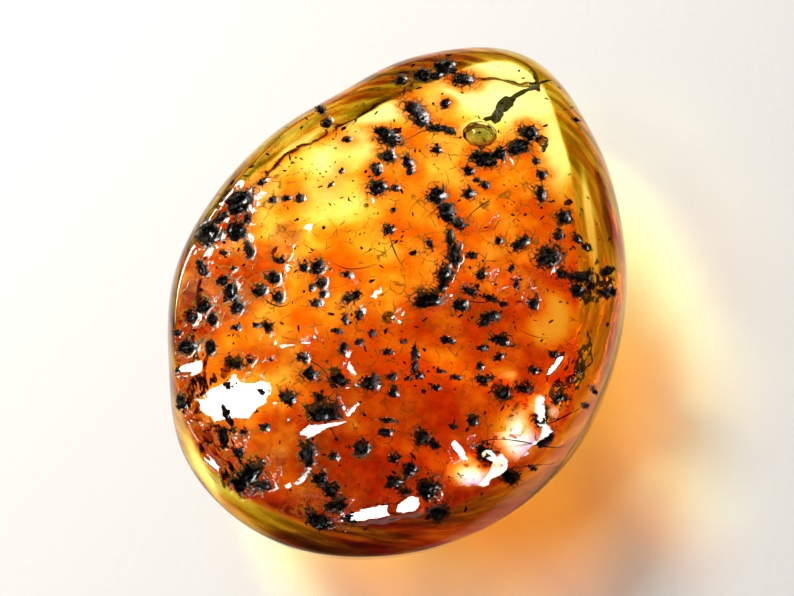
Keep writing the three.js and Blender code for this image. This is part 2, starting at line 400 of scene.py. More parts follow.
# Pieces of dark olive film: pixel, length and width in mm, turn in degrees
FILM_FLAKES = (
    (506, 103, 2.2, 1.3, 50), (498, 114, 1.7, 1.0, 60), (520, 93, 2.2, 0.5, 35), (532, 87, 1.6, 0.5, 28),
    (544, 81, 1.5, 0.25, 25), (385, 131, 2.2, 0.9, -8), (396, 130, 1.2, 0.7, 20), (568, 201, 1.0, 0.6, 35),
    (490, 117, 1.2, 0.5, 20),
)


def around_ring(values, angle):
    """A smooth closed curve through the values, read at angles in radians."""
    ring = np.asarray(values, float)
    count = len(ring)
    place = (np.asarray(angle, float) / (2 * math.pi)) % 1.0 * count
    first = np.floor(place).astype(int) % count
    share = place - np.floor(place)
    a, b, c, d = (ring[(first + step) % count] for step in (-1, 0, 1, 2))
    slope = c - a
    bend = 2 * a - 5 * b + 4 * c - d
    twist = 3 * b - 3 * c + d - a
    return 0.5 * (2 * b + slope * share + bend * share ** 2 + twist * share ** 3)


def smooth_minimum(first, second, width):
    """The lower of two heights, rounded where they cross."""
    share = np.clip(0.5 + 0.5 * (second - first) / width, 0.0, 1.0)
    return second * (1 - share) + first * share - width * share * (1 - share)


def smooth_step(value, low, high):
    """0 below low, 1 above high and smooth between."""
    share = np.clip((value - low) / (high - low), 0.0, 1.0)
    return share * share * (3 - 2 * share)


def plan_middle():
    """The middle of the plan outline's own box, which the CAD node has at its origin."""
    angle = np.linspace(0, 2 * math.pi, 720, endpoint=False)
    edge = around_ring(PLAN_RADII, angle)
    x, y = edge * np.cos(angle), edge * np.sin(angle)
    return (x.max() + x.min()) / 2, (y.max() + y.min()) / 2


def smooth_top(x, y, shape):
    """Height in mm of the upper face without its pits, at plan points in mm."""
    face = shape.crown_height / MM - shape.crown_fall_x / MM * (x / 20.0) ** 2
    face = face - shape.crown_fall_y / MM * (y / 25.0) ** 2
    angle = np.arctan2(y, x)
    share = np.clip(np.hypot(x, y) / around_ring(PLAN_RADII, angle), 0.0, 1.0)
    rounding = 1 / around_ring(WALL_SQUARENESS, angle)
    rise = around_ring(WALL_RISE, angle) * (1 - share ** UPPER_SQUARENESS) ** rounding
    wall = around_ring(GIRDLE_HEIGHT, angle) + rise
    return smooth_minimum(face, wall, around_ring(SHOULDER_BLEND, angle))


def camera_axes():
    """The camera's backward, right and up directions."""
    flat = math.cos(CAMERA_RISE)
    back = Vector((math.sin(CAMERA_TURN) * flat, -math.cos(CAMERA_TURN) * flat, math.sin(CAMERA_RISE)))
    right = Vector((math.cos(CAMERA_TURN), math.sin(CAMERA_TURN), 0.0))
    return back, right, back.cross(right)


def plan_of(across, down, shape):
    """The plan point in mm that the photograph shows at a pixel of the upper face."""
    back, right, up = camera_axes()
    focal = CAMERA_LENS / SENSOR * PHOTO_WIDTH
    ray = right * (across - PHOTO_WIDTH / 2 - SHIFT_RIGHT)
    ray = ray - up * (down - PHOTO_HEIGHT / 2 - SHIFT_DOWN) - back * focal
    eye = CAMERA_AIM + back * CAMERA_DISTANCE
    height = shape.crown_height / MM
    for _ in range(6):
        spot = eye + ray * ((height - eye.z) / ray.z)
        height = float(smooth_top(spot.x, spot.y, shape))
    return spot.x, spot.y


def local_distance(x, y, spot, turn, long, wide):
    """Distance from a spot as a share of an ellipse's half axes, at plan points."""
    angle = CAMERA_TURN + math.radians(turn)
    along = (x - spot[0]) * math.cos(angle) + (y - spot[1]) * math.sin(angle)
    aside = (y - spot[1]) * math.cos(angle) - (x - spot[0]) * math.sin(angle)
    return np.hypot(along / (long / 2), aside / (wide / 2))


def noise_at(x, y, size, seed, octaves=3):
    """Fractal noise from about -1 to 1 at plan points, with features of a size in mm."""
    shift = seed * 17.3
    points = zip((x / size + shift).tolist(), (y / size - shift).tolist())
    return np.array([noise.fractal((px, py, shift), 0.9, 2.1, octaves) for px, py in points])


def points_near(x, y, spot, reach):
    """Which plan points lie within a reach in mm of a spot, both along X and along Y."""
    return np.flatnonzero((np.abs(x - spot[0]) < reach) & (np.abs(y - spot[1]) < reach))


def distance_to_way(x, y, way):
    """Distance in mm from plan points to a line through plan points."""
    nearest = np.full(len(x), 1e9)
    for start, end in zip(way, way[1:]):
        step = np.subtract(end, start)
        share = ((x - start[0]) * step[0] + (y - start[1]) * step[1]) / float(step @ step)
        share = np.clip(share, 0.0, 1.0)
        away = np.hypot(x - start[0] - share * step[0], y - start[1] - share * step[1])
        nearest = np.minimum(nearest, away)
    return nearest


def patch_cover(x, y, patches, shape):
    """How much of a set of soft patches covers each plan point, from 0 to 1."""
    cover = np.zeros(len(x))
    for patch in patches:
        spot = plan_of(patch.across, patch.down, shape)
        away = local_distance(x, y, spot, patch.turn, patch.long, patch.wide)
        cover = np.maximum(cover, patch.strength * (1 - smooth_step(away, 0.55, 1.25)))
    return cover


def mirror_slope(spot, height):
    """The rise along X and Y of a plane that mirrors the window to the camera from a plan point in mm."""
    point = Vector((spot[0], spot[1], height))
    to_eye = CAMERA_AIM + camera_axes()[0] * CAMERA_DISTANCE - point
    to_window = lit_from(WINDOW_TURN, WINDOW_RISE) * WINDOW_DISTANCE / MM - point
    half = to_eye.normalized() + to_window.normalized()
    return -half.x / half.z, -half.y / half.z


def relief(x, y, shape):
    """What waves, folds, pits and facets take off the upper face in mm, with its soil and halo."""
    soil = np.zeros(len(x))
    halo = np.zeros(len(x))
    drop = sum(share * noise_at(x, y, size, seed, octaves) for size, seed, octaves, share in SWELL_WAVES)
    out = np.hypot(x, y) / around_ring(PLAN_RADII, np.arctan2(y, x))
    drop = drop * shape.swell / MM * (1 - smooth_step(out, *WAVES_FADE))
    for fold in FOLDS:
        way = [plan_of(across, down, shape) for across, down in fold.way]
        away = distance_to_way(x, y, way)
        drop -= fold.height * np.exp(-(away / fold.width) ** 2)
    wobble = PIT_RAGGED * noise_at(x, y, 0.7, 4, 3)
    for pit in OPEN_PITS + SOIL_PITS:
        spot = plan_of(pit.across, pit.down, shape)
        near = points_near(x, y, spot, 2.0 * max(pit.long, pit.wide) + 2.0)
        if not len(near):
            continue
        away = local_distance(x[near], y[near], spot, pit.turn, pit.long, pit.wide) + wobble[near]
        size = min(pit.long, pit.wide)
        deep = shape.pit_depth / MM * size ** 0.6
        left = DEPTH_UNDER_SOIL if pit.soil else 1.0
        basin = BASIN_SHARE * deep * np.exp(-(away / 1.5) ** 2)
        drop[near] += deep * left * (1 - smooth_step(away, 0.45, 1.15)) + basin
        if pit.soil:
            soil[near] = np.maximum(soil[near], 1 - smooth_step(away, 0.45, 2.1))
            rim = np.clip(away - 1, 0, None) * size / 2
            ring = np.exp(-(rim / HALO_REACH) ** 2) * min(1.0, 0.4 + size * 0.5)
            halo[near] = np.maximum(halo[near], ring)
    for facet in FACETS:
        spot = plan_of(facet.across, facet.down, shape)
        near = points_near(x, y, spot, facet.long + facet.wide)
        if not len(near):
            continue
        away = local_distance(x[near], y[near], spot, facet.turn, facet.long, facet.wide)
        away = away + FACET_RAGGED * noise_at(x[near], y[near], 1.1, 6, 3)
        cover = 1 - smooth_step(away, 0.85, 1.25)
        level = float(smooth_top(spot[0], spot[1], shape)) - facet.sink
        rise_x, rise_y = mirror_slope(spot, level)
        plane = level + rise_x * (x[near] - spot[0]) + rise_y * (y[near] - spot[1])
        plane = plane - FACET_WAVES * noise_at(x[near], y[near], 1.6, 7, 2)
        drop[near] += cover * (smooth_top(x[near], y[near], shape) - plane - drop[near])
        soil[near] *= 1 - cover
        halo[near] *= 1 - cover
    return drop, soil, halo


def floors_at(spots, shape):
    """Heights in mm of the finished upper face at a list of plan points."""
    x, y = np.array(spots, float).T
    return smooth_top(x, y, shape) - relief(x, y, shape)[0]


def spot_on_face(across, down, shape):
    """The point in mm of the finished upper face that the photograph shows at a pixel."""
    x, y = plan_of(across, down, shape)
    return x, y, float(floors_at([(x, y)], shape)[0])


def lump_points(start, shape):
    """Puts points of a unit sphere on the lump, in mm, and gives what marks each one."""
    angle = np.arctan2(start[:, 1], start[:, 0])
    edge = around_ring(PLAN_RADII, angle)
    spread = np.sqrt(np.clip(1 - np.abs(start[:, 2]), 0, 1))
    above = start[:, 2] >= 0
    bow = math.pi / 2 * spread
    upper_reach = edge * np.sin(bow) ** (2 / UPPER_SQUARENESS)
    x, y = upper_reach * np.cos(angle), upper_reach * np.sin(angle)
    drop, soil, halo = relief(x, y, shape)
    share = upper_reach / edge
    fade = 1 - smooth_step(share, *PITS_FADE)
    top = smooth_top(x, y, shape) - drop * fade
    girdle = around_ring(GIRDLE_HEIGHT, angle)
    lower_share = np.sin(bow) ** (2 / LOWER_SQUARENESS)
    width = around_ring(CHAMFER_WIDTH, angle)
    along = np.clip((lower_share * edge - (edge - width)) / width, -1, 1)
    slope = np.where(along > 0, 1 - np.clip(1 - along, 0, 1) ** CHAMFER_CURVE, CHAMFER_CURVE * along)
    bottom = -smooth_minimum(np.zeros(len(x)), -girdle * slope, FOOT_BLEND)
    reach = np.where(above, upper_reach, lower_share * edge)
    points = np.c_[reach * np.cos(angle), reach * np.sin(angle), np.where(above, top, bottom)]
    clear = patch_cover(x, y, CLEAR_PATCHES, shape)
    red = patch_cover(x, y, RED_PATCHES, shape) * (1 - clear)
    brown = patch_cover(x, y, BROWN_PATCHES, shape) * (1 - clear)
    skin_edge = around_ring(SKIN_EDGE, angle) + 0.006 * noise_at(x, y, 3.0, 9, 2)
    skin_end = smooth_step(share, skin_edge - SKIN_SOFTNESS, skin_edge + SKIN_SOFTNESS)
    on_face = np.where(above, 1 - skin_end, 0.0)
    beyond_skin = smooth_step(share, skin_edge - 0.008, skin_edge + 0.012)
    near_girdle = smooth_step(lower_share, 0.90, 0.98)
    marks = {
        "skin": np.clip(np.maximum(1.0 - clear, 0.9 * halo ** 2), 0, 1) * on_face,
        "red": red * on_face,
        "brown": (brown + around_ring(EDGE_BROWN, angle) * smooth_step(share, 0.80, 0.95)) * on_face,
        "soil": soil * np.where(above, 1.0, 0.0) * fade,
        "halo": halo * on_face,
        # The ground side band: partly real olive-brown stain, partly painted shade
        "side": around_ring(SIDE_STAIN_AND_SHADE, angle) * np.where(above, beyond_skin, LOWER_STAIN_AND_SHADE * near_girdle),
    }
    marks["side"] *= 1 - patch_cover(x, y, LIGHT_STREAKS, shape)
    dark = np.where(above, smooth_step(share, skin_edge, skin_edge + 0.02), 0.0)
    marks["side"] += patch_cover(x, y, DARK_STREAKS, shape) * dark
    across = np.where(above, share, 2 - lower_share) * edge
    ring = np.c_[np.cos(angle) * ALONG_STREAKS, np.sin(angle) * ALONG_STREAKS, across * ACROSS_STREAKS]
    return points, marks, ring


def only(piece):
    """Makes one object the only selected and the active one."""
    bpy.ops.object.select_all(action="DESELECT")
    piece.select_set(True)
    bpy.context.view_layer.objects.active = piece


def points_of(piece):
    """A mesh's vertices as an array."""
    flat = np.empty(len(piece.data.vertices) * 3)
    piece.data.vertices.foreach_get("co", flat)
    return flat.reshape(-1, 3)


def finish_piece(piece, name, slot, *materials):
    """Names a piece, gives it its materials, and lets it ride on the lump's body. The slot is not used."""
    piece.name = name
    piece.data.name = name
    piece.data.materials.clear()
    for material in materials:
        piece.data.materials.append(material)
    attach(piece, "root")
    return piece


def crumb_shape(level, roughness, seed):
    """One rough crumb about 2 units across: an icosphere whose points are jogged and smoothed."""
    bpy.ops.object.select_all(action="DESELECT")
    bpy.ops.mesh.primitive_ico_sphere_add(subdivisions=min(level, 2), radius=1.0)
    crumb = bpy.context.object
    bpy.ops.object.mode_set(mode="EDIT")
    bpy.ops.mesh.select_all(action="SELECT")
    bpy.ops.transform.vertex_random(offset=roughness, uniform=0.4, normal=0.8, seed=seed)
    for step in range(level - 2):
        bpy.ops.mesh.subdivide(number_cuts=1, smoothness=0.3)
        finer = roughness / (3 + 2 * step)
        bpy.ops.transform.vertex_random(offset=finer, uniform=0.4, normal=0.6, seed=seed)
    bpy.ops.object.mode_set(mode="OBJECT")
    faces = np.array([polygon.vertices[:] for polygon in crumb.data.polygons])
    shape = points_of(crumb), faces
    mesh = crumb.data
    bpy.data.objects.remove(crumb)
    bpy.data.meshes.remove(mesh)
    return shape


def heap(name, placed):
    """One mesh of many placed shapes. Each entry is (points and faces, 4 x 4 matrix in mm)."""
    points, faces, count = [], [], 0
    for (corners, sides), matrix in placed:
        turned = np.array(matrix)
        points.append(corners @ turned[:3, :3].T + turned[:3, 3])
        faces.append(sides + count)
        count += len(corners)
    mesh = bpy.data.meshes.new(name)
    mesh.from_pydata((np.concatenate(points) * MM).tolist(), [], np.concatenate(faces).tolist())
    piece = bpy.data.objects.new(name, mesh)
    bpy.context.scene.collection.objects.link(piece)
    return piece


def placing(x, y, z, turn, long, wide, tall, lean=(0.0, 0.0)):
    """The matrix that puts a unit shape at a place in mm, stretched and turned."""
    spin = Matrix.Rotation(turn, 4, "Z") @ Matrix.Rotation(lean[0], 4, "X")
    spin = spin @ Matrix.Rotation(lean[1], 4, "Y")
    return Matrix.Translation((x, y, z)) @ spin @ Matrix.Diagonal((long, wide, tall, 1.0))


# Kinds of node socket
FLOAT = "NodeSocketFloat"
VECTOR = "NodeSocketVector"
COLOUR = "NodeSocketColor"

# Index of refraction of amber, and how fast light is soaked up inside it
AMBER_INDEX = 1.54
ABSORPTION = 60.0

# How many units of the skin the camera sees through, and the lamps shine through, with their gain
SKIN_DEPTH = 1.5
LAMP_DEPTH = 0.56
LAMP_GAIN = (1.34, 1.42, 1.25, 1.0)

# Roughness of the soil that is caught in the surface
SOIL_DULLNESS = 0.18


def put(tree, kind, values=(), **settings):
    """Adds a shader node with values on its sockets, each by name or index."""
    made = tree.nodes.new(kind)
    for key, value in settings.items():
        setattr(made, key, value)
    for key, value in dict(values).items():
        if isinstance(value, bpy.types.NodeSocket):
            tree.links.new(value, made.inputs[key])
        else:
            made.inputs[key].default_value = value
    return made


def mixed(tree, share, first, second, kind="MIX"):
    """A colour between two, by a share."""
    values = {0: share, 6: first, 7: second}
    return put(tree, "ShaderNodeMix", values, data_type="RGBA", blend_type=kind).outputs[2]


def worked(tree, operation, first, second=0.0):
    """The result of one sum on two values."""
    return put(tree, "ShaderNodeMath", {0: first, 1: second}, operation=operation).outputs[0]


def ranged(tree, value, low, high, start=0.0, end=1.0):
    """A value taken smoothly from one range to another."""
    values = {"Value": value, "From Min": low, "From Max": high, "To Min": start, "To Max": end}
    return put(tree, "ShaderNodeMapRange", values, interpolation_type="SMOOTHSTEP").outputs[0]


def speckle(tree, where, scale, detail=4.0, roughness=0.55):
    """Noise from 0 to 1 at a scale in features to the metre."""
    values = {"Vector": where, "Scale": scale, "Detail": detail, "Roughness": roughness}
    return put(tree, "ShaderNodeTexNoise", values).outputs[0]


def new_group(name, inputs, outputs):
    """An empty shader node group with named sockets, its input node and its output node."""
    group = bpy.data.node_groups.new(name, "ShaderNodeTree")
    for label, kind, default in inputs:
        socket = group.interface.new_socket(name=label, in_out="INPUT", socket_type=kind)
        if default is not None:
            socket.default_value = default
    for label, kind in outputs:
        group.interface.new_socket(name=label, in_out="OUTPUT", socket_type=kind)
    return group, group.nodes.new("NodeGroupInput"), group.nodes.new("NodeGroupOutput")


def stain(tree, colour, depth):
    """What a layer of a depth lets through of white light, where one unit of depth gives the colour."""
    return put(tree, "ShaderNodeGamma", {"Color": colour, "Gamma": depth}).outputs[0]


def bent_place(group, where):
    """A place pushed about by noise, so that a net of cells read there has wandering lines."""
    push = put(group, "ShaderNodeTexNoise", {"Vector": where, "Scale": 700.0, "Detail": 3.0})
    push = put(group, "ShaderNodeVectorMath", {0: push.outputs["Color"], 3: 0.0011}, operation="SCALE")
    return put(group, "ShaderNodeVectorMath", {0: where, 1: push.outputs[0]}, operation="ADD").outputs[0]


def net_distance(group, where, scale):
    """Distance to the nearest line of a net of cells, at a scale in cells to the metre."""
    values = {"Vector": where, "Scale": scale}
    return put(group, "ShaderNodeTexVoronoi", values, feature="DISTANCE_TO_EDGE").outputs["Distance"]


def crack_mask(group, marks, cells, fine_cells, mottle):
    """Where dark cracks run: a wide net in places, and a close one beside the pits."""
    wide = worked(group, "MULTIPLY", ranged(group, cells, 0.05, 0.012), ranged(group, mottle, 0.43, 0.58))
    thick = ranged(group, marks["Halo"], 0.45, 1.0, 0.0, 0.15)
    reach = worked(group, "SUBTRACT", fine_cells, thick)
    beside_pits = ranged(group, marks["Halo"], 0.4, 0.6)
    fine = worked(group, "MULTIPLY", ranged(group, reach, 0.02, -0.02), beside_pits)
    cracks = worked(group, "MAXIMUM", wide, worked(group, "MULTIPLY", fine, 0.9))
    return worked(group, "MULTIPLY", cracks, ranged(group, marks["Skin"], 0.15, 0.7))


def soil_mask(group, marks, fine_cells, mottle, grit):
    """Where soil covers the skin: round each pit, ragged and lobed, and out along the fine cracks."""
    ragged = worked(group, "MULTIPLY", worked(group, "SUBTRACT", grit, 0.5), 1.15)
    ragged = worked(group, "ADD", ragged, worked(group, "SUBTRACT", mottle, 0.5))
    cover = worked(group, "ADD", marks["Soil"], ragged)
    cover = worked(group, "ADD", cover, ranged(group, fine_cells, 0.16, 0.0, -0.06, 0.40))
    cover = ranged(group, cover, 0.62, 0.67)
    return worked(group, "MULTIPLY", cover, ranged(group, marks["Soil"], 0.05, 0.25))


def skin_stain(group, marks, cloud, mottle):
    """What one unit of the skin lets through: orange, redder or browner in places and by the pits."""
    depth = worked(group, "MULTIPLY", marks["Skin"], ranged(group, cloud, 0.32, 0.68, 0.5, 1.6))
    redness = worked(group, "MULTIPLY", marks["Red"], ranged(group, mottle, 0.3, 0.7, 0.6, 1.2))
    redness = worked(group, "MAXIMUM", redness, worked(group, "MULTIPLY", marks["Halo"], 1.2))
    brownness = worked(group, "MULTIPLY", marks["Brown"], ranged(group, mottle, 0.3, 0.7, 0.5, 1.4))
    brownness = worked(group, "MAXIMUM", brownness, ranged(group, marks["Soil"], 0.25, 0.75, 0.0, 0.7))
    total = stain(group, marks["Orange"], depth)
    total = mixed(group, 1.0, total, stain(group, marks["Deep red"], redness), "MULTIPLY")
    return mixed(group, 1.0, total, stain(group, marks["Dark brown"], brownness), "MULTIPLY")


def band_stain_and_shade(group, marks):
    """What the ground side band lets through: olive to rust, in streaks along it. Its depth is partly real
    stain and partly painted shade, and it darkens only what the camera sees, not the lamps' light.
    """
    streak = speckle(group, marks["Ring"], 0.8, 5.0, 0.6)
    rusty = ranged(group, speckle(group, marks["Ring"], 0.45, 3.0), 0.42, 0.60)
    depth = worked(group, "MULTIPLY", marks["Side"], ranged(group, streak, 0.34, 0.66, 0.6, 1.45))
    return stain(group, mixed(group, rusty, marks["Side stain and shade colour"], marks["Side rust"]), depth)


def weathered_skin_group():
    """The look of the lump's surface: the stained natural face and the ground side band, partly stain and
    partly painted shade, with cracks and soil.
    """
    group, start, end = new_group(
        "Weathered skin",
        (("Where", VECTOR, None), ("Ring", VECTOR, None), ("Skin", FLOAT, 1.0), ("Side", FLOAT, 0.0),
         ("Red", FLOAT, 0.0), ("Brown", FLOAT, 0.0), ("Soil", FLOAT, 0.0), ("Halo", FLOAT, 0.0),
         ("Orange", COLOUR, (0.80, 0.198, 0.005, 1)), ("Deep red", COLOUR, (0.93, 0.42, 0.4, 1)),
         ("Dark brown", COLOUR, (0.5, 0.26, 0.6, 1)), ("Side stain and shade colour", COLOUR, (0.34, 0.22, 0.018, 1)),
         ("Side rust", COLOUR, (0.48, 0.19, 0.012, 1)), ("Vein", COLOUR, (0.10, 0.015, 0.001, 1)),
         ("Soil stain", COLOUR, (0.0016, 0.0006, 0.0003, 1))),
        (("Color", COLOUR), ("Lamp tint", COLOUR), ("Dull", FLOAT), ("Height", FLOAT)),
    )
    marks = start.outputs
    cloud = speckle(group, marks["Where"], 260.0, 3.0)
    mottle = speckle(group, marks["Where"], 900.0, 5.0, 0.6)
    grit = speckle(group, marks["Where"], 3200.0, 5.0, 0.65)
    bent = bent_place(group, marks["Where"])
    cells = net_distance(group, bent, 620.0)
    fine_cells = net_distance(group, bent, 1500.0)
    cracks = crack_mask(group, marks, cells, fine_cells, mottle)
    soil = soil_mask(group, marks, fine_cells, mottle, grit)
    total = skin_stain(group, marks, cloud, mottle)
    tint = mixed(group, 1.0, stain(group, total, LAMP_DEPTH), LAMP_GAIN, "MULTIPLY")
    group.links.new(mixed(group, soil, tint, marks["Soil stain"]), end.inputs["Lamp tint"])
    colour = mixed(group, 1.0, stain(group, total, SKIN_DEPTH), band_stain_and_shade(group, marks), "MULTIPLY")
    colour = mixed(group, cracks, colour, marks["Vein"])
    group.links.new(mixed(group, soil, colour, marks["Soil stain"]), end.inputs["Color"])
    group.links.new(worked(group, "MULTIPLY", soil, SOIL_DULLNESS), end.inputs["Dull"])
    height = worked(group, "MULTIPLY", grit, soil)
    height = worked(group, "ADD", height, worked(group, "MULTIPLY", cracks, -0.1))
    height = worked(group, "ADD", height, worked(group, "MULTIPLY", mottle, 0.08))
    group.links.new(height, end.inputs["Height"])
    return group


def grain_group():
    """Fine uneven grain for soil, film and threads: a varied colour with sparse painted glints, and a
    height.
    """
    group, start, end = new_group(
        "Grain",
        (("Where", VECTOR, None), ("Dark", COLOUR, (0.01, 0.006, 0.004, 1)),
         ("Light", COLOUR, (0.08, 0.05, 0.03, 1)), ("Painted glint", COLOUR, (0.22, 0.19, 0.16, 1)),
         ("Scale", FLOAT, 3000.0)),
        (("Color", COLOUR), ("Rough", FLOAT), ("Height", FLOAT)),
    )
    coarse = speckle(group, start.outputs["Where"], start.outputs["Scale"], 6.0, 0.7)
    share = ranged(group, coarse, 0.56, 0.9)
    colour = mixed(group, share, start.outputs["Dark"], start.outputs["Light"])
    # Sparse light grey specks mixed into the colour are painted glints
    painted_glint_mask = ranged(group, speckle(group, start.outputs["Where"], 7000.0, 2.0), 0.66, 0.74)
    colour = mixed(group, painted_glint_mask, colour, start.outputs["Painted glint"])
    group.links.new(colour, end.inputs["Color"])
    group.links.new(ranged(group, coarse, 0.3, 0.7, 0.2, 0.5), end.inputs["Rough"])
    group.links.new(coarse, end.inputs["Height"])
    return group


def group_named(name, maker):
    """A node group, made the first time that it is asked for."""
    return bpy.data.node_groups.get(name) or maker()


def new_material(name):
    """An empty node material, its tree and its shader."""
    material = bpy.data.materials.new(name)
    material.use_nodes = True
    tree = material.node_tree
    return material, tree, tree.nodes["Principled BSDF"]


def bumped(tree, height, strength, distance):
    """A normal from a height."""
    values = {"Strength": strength, "Distance": distance, "Height": height}
    return put(tree, "ShaderNodeBump", values).outputs[0]


def mark(tree, name):
    """A vertex mark of the piece as a value."""
    return put(tree, "ShaderNodeAttribute", attribute_name=name).outputs["Fac"]


def let_lamps_through(tree, shader, tint):
    """Lets lamp and sky light through a see-through surface, tinted, so that its shadow glows."""
    clear = put(tree, "ShaderNodeBsdfTransparent", {"Color": tint})
    share = put(tree, "ShaderNodeLightPath").outputs["Is Shadow Ray"]
    mix = put(tree, "ShaderNodeMixShader", {0: share, 1: shader.outputs[0], 2: clear.outputs[0]})
    tree.links.new(mix.outputs[0], tree.nodes["Material Output"].inputs["Surface"])


def amber_material(colours):
    """Clear yellow amber that soaks up blue, under an orange to red-brown weathered skin."""
    material, tree, shader = new_material("amber_with_skin")
    where = put(tree, "ShaderNodeTexCoord").outputs["Object"]
    skin = put(tree, "ShaderNodeGroup", node_tree=group_named("Weathered skin", weathered_skin_group))
    tree.links.new(where, skin.inputs["Where"])
    ring = put(tree, "ShaderNodeAttribute", attribute_name="ring").outputs["Vector"]
    tree.links.new(ring, skin.inputs["Ring"])
    for label in ("Skin", "Red", "Brown", "Soil", "Halo", "Side"):
        tree.links.new(mark(tree, label.lower()), skin.inputs[label])
    skin.inputs["Orange"].default_value = (*colours.skin_orange, 1.0)
    skin.inputs["Deep red"].default_value = (*colours.skin_red, 1.0)
    skin.inputs["Dark brown"].default_value = (*colours.skin_brown, 1.0)
    skin.inputs["Side stain and shade colour"].default_value = (*colours.side_stain_and_shade_colour, 1.0)
    shader.inputs["Transmission Weight"].default_value = 1.0
    shader.inputs["IOR"].default_value = AMBER_INDEX
    tree.links.new(skin.outputs["Color"], shader.inputs["Base Color"])
    tree.links.new(skin.outputs["Dull"], shader.inputs["Roughness"])
    tree.links.new(bumped(tree, skin.outputs["Height"], 0.5, 0.00005), shader.inputs["Normal"])
    let_lamps_through(tree, shader, skin.outputs["Lamp tint"])
    values = {"Color": (*colours.clear_amber, 1.0), "Density": ABSORPTION}
    inside = put(tree, "ShaderNodeVolumeAbsorption", values)
    tree.links.new(inside.outputs[0], tree.nodes["Material Output"].inputs["Volume"])
    return material


def grain_material(name, dark, light, scale, bump):
    """A matte, grainy finish for soil, crumbs, film and threads, with sparse painted glints."""
    material, tree, shader = new_material(name)
    where = put(tree, "ShaderNodeTexCoord").outputs["Object"]
    grain = put(tree, "ShaderNodeGroup", node_tree=group_named("Grain", grain_group))
    tree.links.new(where, grain.inputs["Where"])
    grain.inputs["Dark"].default_value = (*dark, 1.0)
    grain.inputs["Light"].default_value = (*light, 1.0)
    grain.inputs["Scale"].default_value = scale
    tree.links.new(grain.outputs["Color"], shader.inputs["Base Color"])
    shader.inputs["Specular IOR Level"].default_value = 0.12
    tree.links.new(grain.outputs["Rough"], shader.inputs["Roughness"])
    tree.links.new(bumped(tree, grain.outputs["Height"], 0.8, bump), shader.inputs["Normal"])
    return material


def bubble_material():
    """The skin of a gas bubble sealed in resin: light bends the other way on entering it."""
    material, tree, shader = new_material("gas_bubble")
    where = put(tree, "ShaderNodeTexCoord").outputs["Object"]
    shader.inputs["Transmission Weight"].default_value = 1.0
    shader.inputs["IOR"].default_value = 1 / AMBER_INDEX
    shader.inputs["Roughness"].default_value = 0.0
    film = ranged(tree, speckle(tree, where, 900.0), 0.35, 0.6)
    colour = mixed(tree, film, (0.50, 0.48, 0.22, 1.0), (0.26, 0.25, 0.06, 1.0))
    tree.links.new(colour, shader.inputs["Base Color"])
    tree.links.new(bumped(tree, speckle(tree, where, 2500.0), 0.2, 0.00003), shader.inputs["Normal"])
    let_lamps_through(tree, shader, stain(tree, colour, 0.5))
    return material


def painted_light_film_material():
    """A pale matte film that scatters lamp light white to yellow, with orange mottle and red-brown veins:
    painted light that stands in for spots of focused window light.
    """
    material, tree, shader = new_material("painted_light_film")
    where = put(tree, "ShaderNodeTexCoord").outputs["Object"]
    mottle = ranged(tree, speckle(tree, where, 500.0, 4.0), 0.56, 0.70)
    vessels = ranged(tree, speckle(tree, where, 1300.0, 3.0), 0.58, 0.66)
    colour = mixed(tree, mottle, (1.0, 0.98, 0.9, 1.0), (1.0, 0.6, 0.15, 1.0))
    colour = mixed(tree, vessels, colour, (0.45, 0.05, 0.003, 1.0))
    tree.links.new(colour, shader.inputs["Base Color"])
    shader.inputs["Roughness"].default_value = 0.5
    return material


class AmberShape(bpy.types.PropertyGroup):
    """Sizes of the lump that a user would change."""

    crown_height: bpy.props.FloatProperty(
        name="Crown height", description="Height of the upper face at its crown",
        default=16.0 * MM, min=0.002, max=0.1, unit="LENGTH", precision=4)
    crown_fall_x: bpy.props.FloatProperty(
        name="Fall to the sides", description="How far the upper face falls 20 mm from its crown along X",
        default=1.4 * MM, min=0.0, max=0.01, unit="LENGTH", precision=4)
    crown_fall_y: bpy.props.FloatProperty(
        name="Fall to the ends", description="How far the upper face falls 25 mm from its crown along Y",
        default=1.5 * MM, min=0.0, max=0.01, unit="LENGTH", precision=4)
    swell: bpy.props.FloatProperty(
        name="Swell", description="Height of the slow waves of the weathered face",
        default=0.11 * MM, min=0.0, max=0.001, unit="LENGTH", precision=5)
    pit_depth: bpy.props.FloatProperty(
        name="Pit depth", description="Depth of a pit 1 mm across",
        default=0.42 * MM, min=0.0, max=0.002, unit="LENGTH", precision=5)
    crumb_count: bpy.props.IntProperty(
        name="Sealed crumbs", description="Number of small dark crumbs sealed under the skin",
        default=950, min=0, max=2000)


